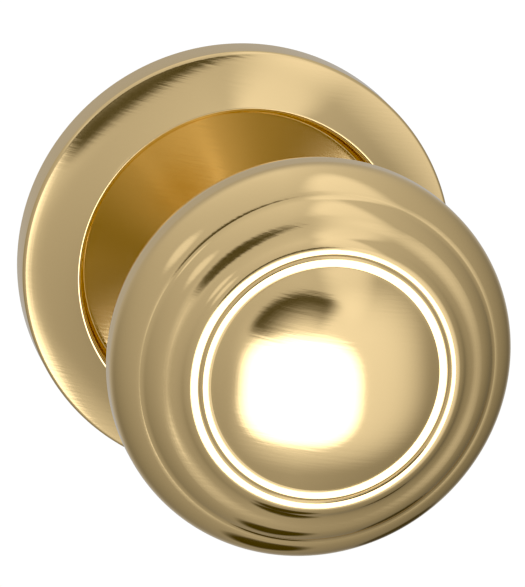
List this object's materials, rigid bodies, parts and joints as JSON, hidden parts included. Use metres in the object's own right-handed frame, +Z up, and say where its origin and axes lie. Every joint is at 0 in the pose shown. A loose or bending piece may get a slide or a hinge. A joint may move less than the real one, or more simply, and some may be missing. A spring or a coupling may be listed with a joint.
{
  "type": "door knob",
  "caption": "Round door knob with a domed, ringed face on a dished round rose, with a sprung cassette, square spindle and through-bolts.",
  "frame": {"origin": "centre of the rose's back face, on the knob's axis, in the plane of the door's face", "axes": "+Y into the door along the spindle, so the knob's front looks along -Y; +Z up; +X to the right of someone who faces the door"},
  "size_m": [0.066, 0.1119, 0.066],
  "materials": {
    "lacquered_brass": "satin",
    "turned_brass": "satin",
    "zinc_plated_steel": "satin",
    "spring_steel": "satin",
    "die_cast_zinc": "matte",
    "nylon": "matte"
  },
  "bodies": {
    "rose": {"rose_cover": "lacquered_brass", "cover_clip_ring": "spring_steel", "mounting_plate": "zinc_plated_steel", "shank_bush": "nylon", "spring_housing": "die_cast_zinc", "housing_lid": "zinc_plated_steel", "housing_screws": "zinc_plated_steel", "through_bolts": "zinc_plated_steel", "stop_pins": "spring_steel", "spring_anchor": "spring_steel", "return_spring": "spring_steel"},
    "knob": {"knob_front_shell": "lacquered_brass", "knob_rear_shell": "lacquered_brass", "reinforcing_cup": "zinc_plated_steel", "clamp_nut": "zinc_plated_steel", "knob_shank": "turned_brass", "spindle": "zinc_plated_steel", "spindle_grub_screw": "spring_steel", "spring_cam": "zinc_plated_steel", "cam_key": "spring_steel", "thrust_washer": "nylon", "wave_washer": "spring_steel", "retaining_clip": "spring_steel"}
  },
  "joints": [
    {"name": "knob_turn", "type": "hinge", "parent": "rose", "child": "knob", "pos_m": [0, 0, 0], "axis": [0, -1, 0], "range_deg": [-60, 60], "stiffness_Nm_per_rad": 0.3, "deforming": ["return_spring"]}
  ]
}
